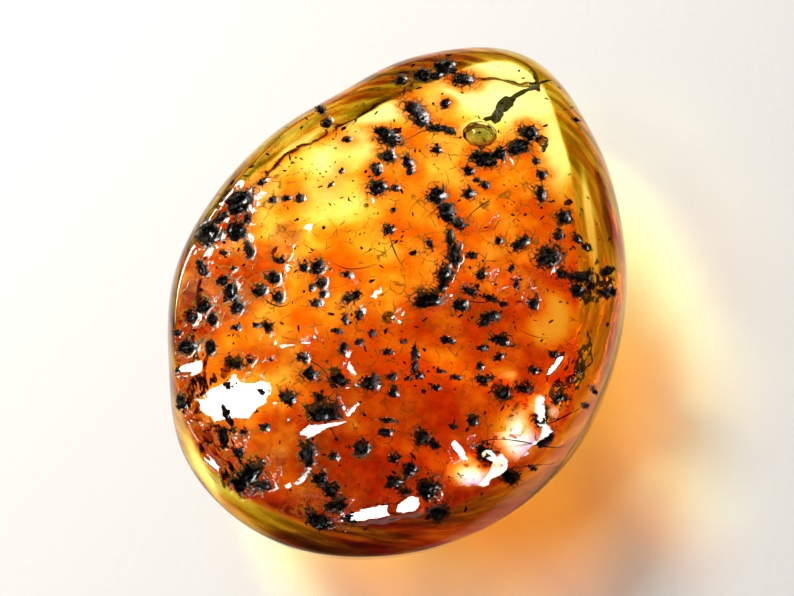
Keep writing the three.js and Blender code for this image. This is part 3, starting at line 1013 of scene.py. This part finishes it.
class AmberColours(bpy.types.PropertyGroup):
    """Colours of the lump that a user would change."""

    clear_amber: bpy.props.FloatVectorProperty(
        name="Clear amber", description="Colour that light keeps as it crosses clear amber",
        default=(0.99, 0.885, 0.32), min=0.0, max=1.0, subtype="COLOR")
    skin_orange: bpy.props.FloatVectorProperty(
        name="Skin", description="Tint of the weathered skin",
        default=(0.80, 0.198, 0.005), min=0.0, max=1.0, subtype="COLOR")
    skin_red: bpy.props.FloatVectorProperty(
        name="Deep skin", description="Tint where the skin is weathered deepest",
        default=(0.93, 0.42, 0.4), min=0.0, max=1.0, subtype="COLOR")
    skin_brown: bpy.props.FloatVectorProperty(
        name="Brown skin", description="Tint where the skin is brown and nearly opaque",
        default=(0.5, 0.26, 0.6), min=0.0, max=1.0, subtype="COLOR")
    # Colour of the ground side band, which is partly real stain and partly painted shade
    side_stain_and_shade_colour: bpy.props.FloatVectorProperty(
        name="Side", description="Olive-brown stain of the ground side",
        default=(0.34, 0.22, 0.018), min=0.0, max=1.0, subtype="COLOR")
    soil_dark: bpy.props.FloatVectorProperty(
        name="Soil", description="Darkest colour of the soil in the pits",
        default=(0.004, 0.003, 0.002), min=0.0, max=1.0, subtype="COLOR")
    soil_light: bpy.props.FloatVectorProperty(
        name="Dry soil", description="Lightest colour of the soil in the pits",
        default=(0.03, 0.019, 0.011), min=0.0, max=1.0, subtype="COLOR")


class AmberStage(bpy.types.PropertyGroup):
    """Light and floor that a user would change."""

    window_power: bpy.props.FloatProperty(
        name="Window", description="Power of the window light",
        default=1.0, min=0.0, max=100.0, unit="POWER")
    sky_strength: bpy.props.FloatProperty(
        name="Sky", description="Strength of the soft light from the window's side",
        default=0.25, min=0.0, max=10.0)
    paper_colour: bpy.props.FloatVectorProperty(
        name="Paper", description="Colour of the floor",
        default=(0.9, 0.88, 0.85), min=0.0, max=1.0, subtype="COLOR")


class AMBER_OT_lump(bpy.types.Operator):
    """Builds the lump of amber with its pitted, weathered upper face"""

    bl_idname = "amber.lump"
    bl_label = "Amber lump"

    def execute(self, context):
        shape = context.scene.amber_shape
        bpy.ops.object.select_all(action="DESELECT")
        bpy.ops.mesh.primitive_ico_sphere_add(subdivisions=7, radius=1.0)
        lump = context.object
        bpy.ops.object.mode_set(mode="EDIT")
        bpy.ops.mesh.select_mode(type="FACE")
        bpy.ops.mesh.select_all(action="DESELECT")
        bpy.ops.object.mode_set(mode="OBJECT")
        upper = points_of(lump)[:, 2] > FINE_ABOVE
        corners = np.array([polygon.vertices[:] for polygon in lump.data.polygons])
        lump.data.polygons.foreach_set("select", upper[corners].all(axis=1))
        bpy.ops.object.mode_set(mode="EDIT")
        bpy.ops.mesh.subdivide(number_cuts=1)
        bpy.ops.mesh.select_all(action="SELECT")
        bpy.ops.mesh.quads_convert_to_tris()
        bpy.ops.object.mode_set(mode="OBJECT")
        start = points_of(lump)
        start /= np.linalg.norm(start, axis=1)[:, None]
        points, marks, ring = lump_points(start, shape)
        middle = plan_middle()
        points[:, 0] -= middle[0]
        points[:, 1] -= middle[1]
        lump.data.vertices.foreach_set("co", (points * MM).ravel())
        for name, values in marks.items():
            attribute = lump.data.attributes.new(name, "FLOAT", "POINT")
            attribute.data.foreach_set("value", values.astype(np.float32))
        along_ring = lump.data.attributes.new("ring", "FLOAT_VECTOR", "POINT")
        along_ring.data.foreach_set("vector", ring.astype(np.float32).ravel())
        lump.data.update()
        only(lump)
        bpy.ops.object.shade_smooth()
        finish_piece(lump, "amber_lump", "amber", amber_material(context.scene.amber_colours))
        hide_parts("amber")
        return {"FINISHED"}


class AMBER_OT_pit_soil(bpy.types.Operator):
    """Packs rough soil into the pits of the upper face"""

    bl_idname = "amber.pit_soil"
    bl_label = "Soil in the pits"

    def execute(self, context):
        shape = context.scene.amber_shape
        colours = context.scene.amber_colours
        draw = random.Random(11)
        large = [crumb_shape(4, 0.6, seed) for seed in range(6)]
        middling = [crumb_shape(3, 0.55, 10 + seed) for seed in range(6)]
        small = [crumb_shape(2, 0.45, 20 + seed) for seed in range(6)]
        crumbs = [crumb_shape(1, 0.35, 30 + seed) for seed in range(6)]
        spots = [plan_of(pit.across, pit.down, shape) for pit in SOIL_PITS]
        floors = floors_at(spots, shape)
        placed = []
        ringed = []
        for pit, (x, y), floor in zip(SOIL_PITS, spots, floors):
            turn = CAMERA_TURN + math.radians(pit.turn)
            size = min(pit.long, pit.wide)
            tall = SOIL_HEIGHT * size + SOIL_ADDED
            lean = (draw.uniform(-0.2, 0.2), draw.uniform(-0.2, 0.2))
            long, wide = pit.long * SOIL_WIDTH, pit.wide * SOIL_WIDTH
            matrix = placing(x, y, floor - SOIL_SUNK * tall, turn, long, wide, tall, lean)
            kinds = large if size > LARGE_PIT else middling if size > MIDDLING_PIT else small
            placed.append((draw.choice(kinds), matrix))
            for _ in range(3 + int(3 * pit.long)):
                way = draw.uniform(0, 2 * math.pi)
                out = draw.uniform(0.5, 1.35)
                along, aside = out * pit.long / 2 * math.cos(way), out * pit.wide / 2 * math.sin(way)
                spot_x = x + along * math.cos(turn) - aside * math.sin(turn)
                spot_y = y + along * math.sin(turn) + aside * math.cos(turn)
                ringed.append((spot_x, spot_y, draw.uniform(0.05, 0.2)))
        heights = floors_at([spot[:2] for spot in ringed], shape)
        for (x, y, size), height in zip(ringed, heights):
            lean = (draw.uniform(0, 3), draw.uniform(0, 3))
            turn, wide = draw.uniform(0, 6), size * draw.uniform(0.4, 1)
            matrix = placing(x, y, height - 0.4 * size, turn, size, wide, size * 0.6, lean)
            placed.append((draw.choice(crumbs), matrix))
        soil = heap("pit_soil", placed)
        finish = grain_material("soil", colours.soil_dark, colours.soil_light, 5200.0, 0.00006)
        finish_piece(soil, "pit_soil", "soil", finish)
        return {"FINISHED"}


class AMBER_OT_sealed_crumbs(bpy.types.Operator):
    """Scatters small dark crumbs just under the upper face"""

    bl_idname = "amber.sealed_crumbs"
    bl_label = "Sealed crumbs"

    def execute(self, context):
        shape = context.scene.amber_shape
        draw = random.Random(5)
        crumbs = [crumb_shape(1, 0.3, 40 + seed) for seed in range(8)]
        spots = []
        while len(spots) < shape.crumb_count:
            way = draw.uniform(0, 2 * math.pi)
            share = math.sqrt(draw.uniform(0, 0.86))
            edge = float(around_ring(PLAN_RADII, way))
            x, y = share * edge * math.cos(way), share * edge * math.sin(way)
            crowd = noise.noise((x / 4.0, y / 4.0, 7.0)) * 0.5 + 0.5
            if draw.random() < crowd:
                spots.append((x, y))
        placed = []
        for (x, y), height in zip(spots, floors_at(spots, shape)):
            size = CRUMB_LEAST + CRUMB_ADDED * draw.random() ** CRUMB_POWER
            depth = draw.uniform(0.05, 0.5) + size
            lean = (draw.uniform(0, 3), draw.uniform(0, 3))
            stretch = draw.uniform(0.8, 2.4)
            turn = draw.uniform(0, 6)
            matrix = placing(x, y, height - depth, turn, size * stretch, size, size * 0.6, lean)
            placed.append((draw.choice(crumbs), matrix))
        sealed = heap("sealed_crumbs", placed)
        finish = grain_material("crumb", (0.01, 0.006, 0.004), (0.05, 0.03, 0.015), 6000.0, 0.00002)
        finish_piece(sealed, "sealed_crumbs", "soil", finish)
        return {"FINISHED"}


class AMBER_OT_threads(bpy.types.Operator):
    """Lays plant threads and rootlets in the skin"""

    bl_idname = "amber.threads"
    bl_label = "Plant threads"

    def execute(self, context):
        shape = context.scene.amber_shape
        draw = random.Random(3)
        bpy.ops.object.select_all(action="DESELECT")
        made = []
        for number, way in enumerate(THREADS):
            spots = [plan_of(across, down, shape) for across, down in way]
            heights = floors_at(spots, shape)
            curve = bpy.data.curves.new(f"thread_{number}", "CURVE")
            curve.dimensions = "3D"
            curve.bevel_depth = THREAD_RADIUS * MM
            curve.bevel_resolution = 1
            curve.resolution_u = 6
            line = curve.splines.new("BEZIER")
            line.bezier_points.add(len(spots) - 1)
            for point, (x, y), height in zip(line.bezier_points, spots, heights):
                point.co = Vector((x, y, height - 0.06 - 0.05 * draw.random())) * MM
                point.handle_left_type = "AUTO"
                point.handle_right_type = "AUTO"
                point.radius = draw.uniform(0.5, 1.5)
            line.bezier_points[0].radius = THREAD_END
            line.bezier_points[-1].radius = THREAD_END
            curve.use_fill_caps = True
            thread = bpy.data.objects.new(f"thread_{number}", curve)
            context.scene.collection.objects.link(thread)
            made.append(thread)
        for thread in made:
            thread.select_set(True)
        context.view_layer.objects.active = made[0]
        bpy.ops.object.convert(target="MESH")
        bpy.ops.object.join()
        threads = context.object
        finish = grain_material("thread", (0.02, 0.006, 0.002), (0.09, 0.03, 0.01), 4000.0, 0.00002)
        finish_piece(threads, "plant_threads", "plant_thread", finish)
        return {"FINISHED"}


class AMBER_OT_bubbles(bpy.types.Operator):
    """Seals the gas bubbles in the lump"""

    bl_idname = "amber.bubbles"
    bl_label = "Gas bubbles"

    def execute(self, context):
        shape = context.scene.amber_shape
        round_shape = crumb_shape(4, 0.0, 0)
        small_shape = crumb_shape(3, 0.0, 0)
        x, y, height = spot_on_face(*BUBBLE_SPOT, shape)
        long, wide, tall = BUBBLE_SIZE
        placed = [(round_shape, placing(x, y, height - tall, CAMERA_TURN, long / 2, wide / 2, tall / 2))]
        for across, down, radius in SMALL_BUBBLES:
            x, y, height = spot_on_face(across, down, shape)
            centre = height - radius - 0.25
            placed.append((small_shape, placing(x, y, centre, 0.0, radius, radius, radius * 0.8)))
        bubbles = heap("gas_bubbles", placed)
        only(bubbles)
        bpy.ops.object.shade_smooth()
        finish_piece(bubbles, "gas_bubbles", "bubble", bubble_material())
        return {"FINISHED"}


class AMBER_OT_painted_light_films(bpy.types.Operator):
    """Seals thin pale films in the lump: painted light that stands in for spots of focused window light"""

    bl_idname = "amber.gas_films"
    bl_label = "Films of painted light"

    def execute(self, context):
        shape = context.scene.amber_shape
        outlines = [crumb_shape(4, 0.28, 71 + seed) for seed in range(3)]
        level = Vector((0.0, 0.0, 1.0)).rotation_difference(FILM_FACING).to_matrix().to_4x4()
        placed = []
        for number, (across, down, long, wide, turn, depth) in enumerate(PAINTED_LIGHT_FILMS):
            x, y, height = spot_on_face(across, down, shape)
            flat = placing(0, 0, 0, CAMERA_TURN + math.radians(turn), long / 2, wide / 2, 0.02)
            placed.append((outlines[number % 3], Matrix.Translation((x, y, height - depth)) @ level @ flat))
        films = heap("gas_films", placed)
        finish_piece(films, "gas_films", "bubble", painted_light_film_material())
        return {"FINISHED"}


class AMBER_OT_film(bpy.types.Operator):
    """Seals the flakes of dark film in the lump"""

    bl_idname = "amber.film"
    bl_label = "Dark film"

    def execute(self, context):
        shape = context.scene.amber_shape
        flakes = [crumb_shape(3, 0.22, 60 + seed) for seed in range(4)]
        draw = random.Random(8)
        placed = []
        for across, down, long, wide, turn in FILM_FLAKES:
            x, y, height = spot_on_face(across, down, shape)
            angle = CAMERA_TURN + math.radians(turn)
            lean = (draw.uniform(-0.2, 0.2), draw.uniform(-0.2, 0.2))
            flake = draw.choice(flakes)
            placed.append((flake, placing(x, y, height - FILM_DEPTH, angle, long / 2, wide / 2, 0.05, lean)))
        film = heap("dark_film", placed)
        finish = grain_material("film", (0.035, 0.03, 0.003), (0.14, 0.12, 0.016), 2500.0, 0.00003)
        finish_piece(film, "dark_film", "plant_thread", finish)
        return {"FINISHED"}


def lit_from(turn, rise):
    """The direction of a place seen from the lump: turn from straight ahead to the right, and rise."""
    back, right, up = camera_axes()
    ahead = Vector((-back.x, -back.y, 0.0)).normalized()
    level = ahead * math.cos(math.radians(turn)) + right * math.sin(math.radians(turn))
    return level * math.cos(math.radians(rise)) + Vector((0, 0, math.sin(math.radians(rise))))


def set_lamp(lamp, power):
    """Puts a lamp in the scene, with its power times that of the stage's setting."""
    data = bpy.data.lights.new(lamp.name, "AREA")
    data.shape = "RECTANGLE"
    data.size = lamp.width
    data.size_y = lamp.height
    data.energy = lamp.power * power
    data.color = lamp.colour
    data.cycles.use_multiple_importance_sampling = lamp.mirrored
    light = bpy.data.objects.new(lamp.name, data)
    bpy.context.scene.collection.objects.link(light)
    light.location = lit_from(lamp.turn, lamp.rise) * lamp.distance
    light.rotation_mode = "QUATERNION"
    light.rotation_quaternion = (-light.location).to_track_quat("-Z", "Y")


class AMBER_OT_stage(bpy.types.Operator):
    """Lays the paper, and sets the lights and the camera"""

    bl_idname = "amber.stage"
    bl_label = "Stage"

    def execute(self, context):
        stage = context.scene.amber_stage
        self.lay_paper(stage)
        self.set_sky(context, stage)
        for lamp in LAMPS:
            set_lamp(lamp, stage.window_power)
        self.set_camera(context)
        context.scene.view_settings.view_transform = "Standard"
        context.scene.cycles.caustics_refractive = False
        context.scene.cycles.caustics_reflective = False
        return {"FINISHED"}

    def lay_paper(self, stage):
        bpy.ops.object.select_all(action="DESELECT")
        bpy.ops.mesh.primitive_plane_add(size=2.0, location=(0, 0, -0.05 * MM))
        paper = bpy.context.object
        paper.name = "paper"
        material, tree, shader = new_material("paper")
        where = put(tree, "ShaderNodeTexCoord").outputs["Object"]
        tooth = speckle(tree, where, 1100.0, 4.0, 0.6)
        shader.inputs["Base Color"].default_value = (*stage.paper_colour, 1.0)
        shader.inputs["Roughness"].default_value = 0.9
        shader.inputs["Specular IOR Level"].default_value = 0.1
        tree.links.new(bumped(tree, tooth, 0.25, 0.00012), shader.inputs["Normal"])
        paper.data.materials.append(material)

    def set_sky(self, context, stage):
        world = bpy.data.worlds.new("room")
        context.scene.world = world
        world.use_nodes = True
        tree = world.node_tree
        way = put(tree, "ShaderNodeTexCoord").outputs["Generated"]
        left = put(tree, "ShaderNodeVectorMath", {0: way, 1: lit_from(-60, 20)}, operation="DOT_PRODUCT")
        ahead = put(tree, "ShaderNodeVectorMath", {0: way, 1: lit_from(0, 70)}, operation="DOT_PRODUCT")
        strength = ranged(tree, left.outputs["Value"], 0.2, 0.95, 0.14, 0.6)
        dark = ranged(tree, ahead.outputs["Value"], 0.75, 0.92, 1.0, 0.03)
        strength = worked(tree, "MULTIPLY", worked(tree, "MULTIPLY", strength, dark), stage.sky_strength)
        tree.links.new(strength, tree.nodes["Background"].inputs["Strength"])
        tree.nodes["Background"].inputs["Color"].default_value = (1.0, 0.99, 0.97, 1.0)

    def set_camera(self, context):
        back, right, up = camera_axes()
        data = bpy.data.cameras.new("camera")
        data.lens = CAMERA_LENS
        data.sensor_width = SENSOR
        data.clip_start = 0.005
        data.shift_x = -SHIFT_RIGHT / PHOTO_WIDTH
        data.shift_y = SHIFT_DOWN / PHOTO_WIDTH
        camera = bpy.data.objects.new("camera", data)
        context.scene.collection.objects.link(camera)
        camera.location = (CAMERA_AIM + back * CAMERA_DISTANCE) * MM
        camera.rotation_mode = "QUATERNION"
        camera.rotation_quaternion = (-back).to_track_quat("-Z", "Y")
        context.scene.camera = camera


class AMBER_PT_panel(bpy.types.Panel):
    """Lists the operators that build the lump, with its sizes and colours"""

    bl_idname = "AMBER_PT_panel"
    bl_label = "Polished amber"
    bl_space_type = "VIEW_3D"
    bl_region_type = "UI"
    bl_category = "Amber"

    def draw(self, context):
        for operator in OPERATORS:
            self.layout.operator(operator.bl_idname)
        for group in (context.scene.amber_shape, context.scene.amber_colours, context.scene.amber_stage):
            for name in group.bl_rna.properties.keys():
                if name not in ("rna_type", "name"):
                    self.layout.prop(group, name)


OPERATORS = (
    AMBER_OT_lump, AMBER_OT_pit_soil, AMBER_OT_sealed_crumbs, AMBER_OT_threads,
    AMBER_OT_bubbles, AMBER_OT_painted_light_films, AMBER_OT_film, AMBER_OT_stage,
)
CLASSES = (AmberShape, AmberColours, AmberStage, *OPERATORS, AMBER_PT_panel)


def register():
    """Registers the classes and the settings that they share."""
    for kind in CLASSES:
        bpy.utils.register_class(kind)
    bpy.types.Scene.amber_shape = bpy.props.PointerProperty(type=AmberShape)
    bpy.types.Scene.amber_colours = bpy.props.PointerProperty(type=AmberColours)
    bpy.types.Scene.amber_stage = bpy.props.PointerProperty(type=AmberStage)


def unregister():
    """Takes the classes and the settings away again."""
    del bpy.types.Scene.amber_shape
    del bpy.types.Scene.amber_colours
    del bpy.types.Scene.amber_stage
    for kind in reversed(CLASSES):
        bpy.utils.unregister_class(kind)


def main():
    """Builds the lump, what it holds, and the stage."""
    register()
    bpy.ops.amber.lump()
    bpy.ops.amber.pit_soil()
    bpy.ops.amber.sealed_crumbs()
    bpy.ops.amber.threads()
    bpy.ops.amber.bubbles()
    bpy.ops.amber.gas_films()
    bpy.ops.amber.film()
    bpy.ops.amber.stage()


if __name__ == "__main__":
    main()
